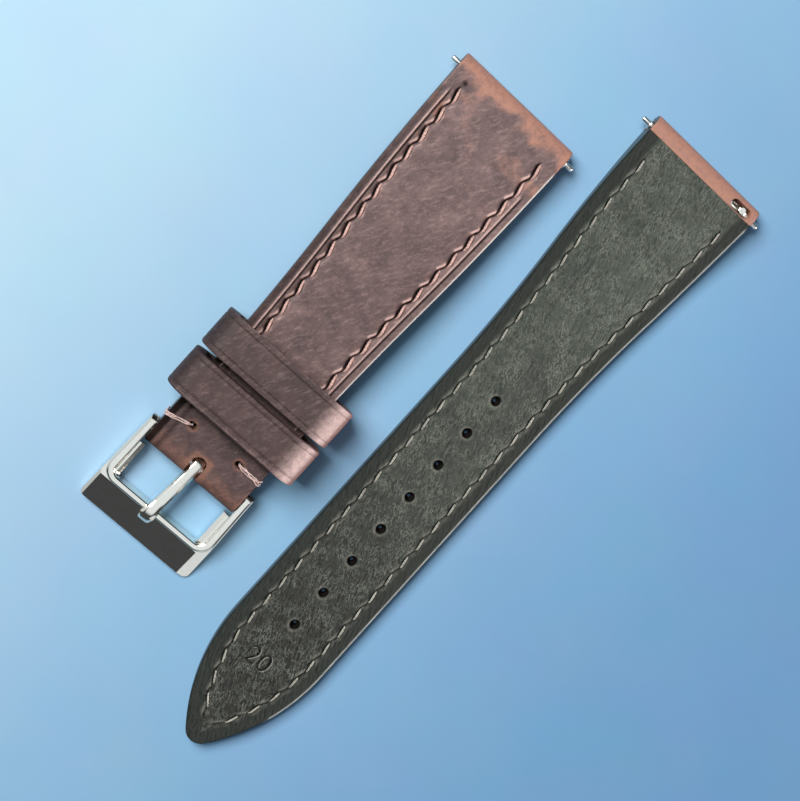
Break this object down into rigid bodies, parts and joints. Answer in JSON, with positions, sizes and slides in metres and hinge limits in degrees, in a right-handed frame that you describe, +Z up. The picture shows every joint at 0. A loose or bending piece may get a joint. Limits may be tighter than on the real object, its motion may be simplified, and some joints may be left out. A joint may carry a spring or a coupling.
{
  "type": "watch strap",
  "caption": "Two-piece leather watch strap with a tang buckle, a fixed and a sliding keeper, stitched padded halves and quick-release spring bars.",
  "frame": {"origin": "on the table, midway between the two halves that lie side by side, at the middle of the long half's length", "axes": "+Y along both halves towards their lug ends, +X across from the buckle half to the long half, +Z up from the table"},
  "size_m": [0.0482, 0.11, 0.009],
  "materials": {
    "brown_leather": "waxed pull-up leather, worn paler at the lug end and the fold",
    "keeper_leather": "waxed dark brown leather, rubbed pale at the bends",
    "lining_leather": "pebble-grained lining leather, matt",
    "filler_board": "leather board, edges painted dark brown",
    "brown_thread": "waxed polyester thread",
    "grey_thread": "waxed polyester thread",
    "polished_steel": "polished stainless steel",
    "bar_steel": "turned stainless steel",
    "spring_steel": "drawn spring wire"
  },
  "bodies": {
    "short_half": {"short_upper": "brown_leather", "short_filler": "filler_board", "short_lining": "lining_leather", "short_stitching_left": "brown_thread", "short_stitching_right": "brown_thread", "edge_tack_left": "brown_thread", "edge_tack_right": "brown_thread", "fixed_keeper": "keeper_leather", "short_bar_tube": "bar_steel", "short_bar_fixed_tip": "bar_steel", "short_bar_spring": "spring_steel"},
    "short_release": {"short_bar_release_pin": "bar_steel", "short_bar_release_knob": "polished_steel"},
    "sliding_keeper": {"sliding_keeper": "keeper_leather"},
    "buckle": {"buckle_frame": "polished_steel", "buckle_bar_tube": "bar_steel", "buckle_bar_spring": "spring_steel"},
    "tang": {"buckle_tang": "polished_steel"},
    "bar_tip_left": {"buckle_bar_tip_left": "bar_steel"},
    "bar_tip_right": {"buckle_bar_tip_right": "bar_steel"},
    "long_half": {"long_upper": "brown_leather", "long_filler": "filler_board", "long_lining": "lining_leather", "long_stitching": "grey_thread", "long_bar_tube": "bar_steel", "long_bar_fixed_tip": "bar_steel", "long_bar_spring": "spring_steel"},
    "long_release": {"long_bar_release_pin": "bar_steel", "long_bar_release_knob": "polished_steel"}
  },
  "joints": [
    {"name": "buckle_pivot", "type": "hinge", "parent": "short_half", "child": "buckle", "pos_m": [-0.0128, -0.02464, 0.00211], "axis": [-1, 0, 0], "range_deg": [-45, 55]},
    {"name": "tang_pivot", "type": "hinge", "parent": "buckle", "child": "tang", "pos_m": [-0.0128, -0.02464, 0.00211], "axis": [-1, 0, 0], "range_deg": [0, 55]},
    {"name": "keeper_slide", "type": "slide", "parent": "short_half", "child": "sliding_keeper", "axis": [0, 1, 0], "range_m": [-0.0005, 0.0165]},
    {"name": "short_release_slide", "type": "slide", "parent": "short_half", "child": "short_release", "axis": [1, 0, 0], "range_m": [0, 0.0014], "stiffness_N_per_m": 1500},
    {"name": "long_release_slide", "type": "slide", "parent": "long_half", "child": "long_release", "axis": [-1, 0, 0], "range_m": [0, 0.0014], "stiffness_N_per_m": 1500},
    {"name": "bar_tip_left_slide", "type": "slide", "parent": "buckle", "child": "bar_tip_left", "axis": [1, 0, 0], "range_m": [0, 0.00085], "stiffness_N_per_m": 1500},
    {"name": "bar_tip_right_slide", "type": "slide", "parent": "buckle", "child": "bar_tip_right", "axis": [-1, 0, 0], "range_m": [0, 0.00085], "stiffness_N_per_m": 1500},
    {"name": "long_half_lift", "type": "slide", "parent": "short_half", "child": "long_half", "axis": [0, 0, 1], "range_m": [0, 0.03]}
  ]
}
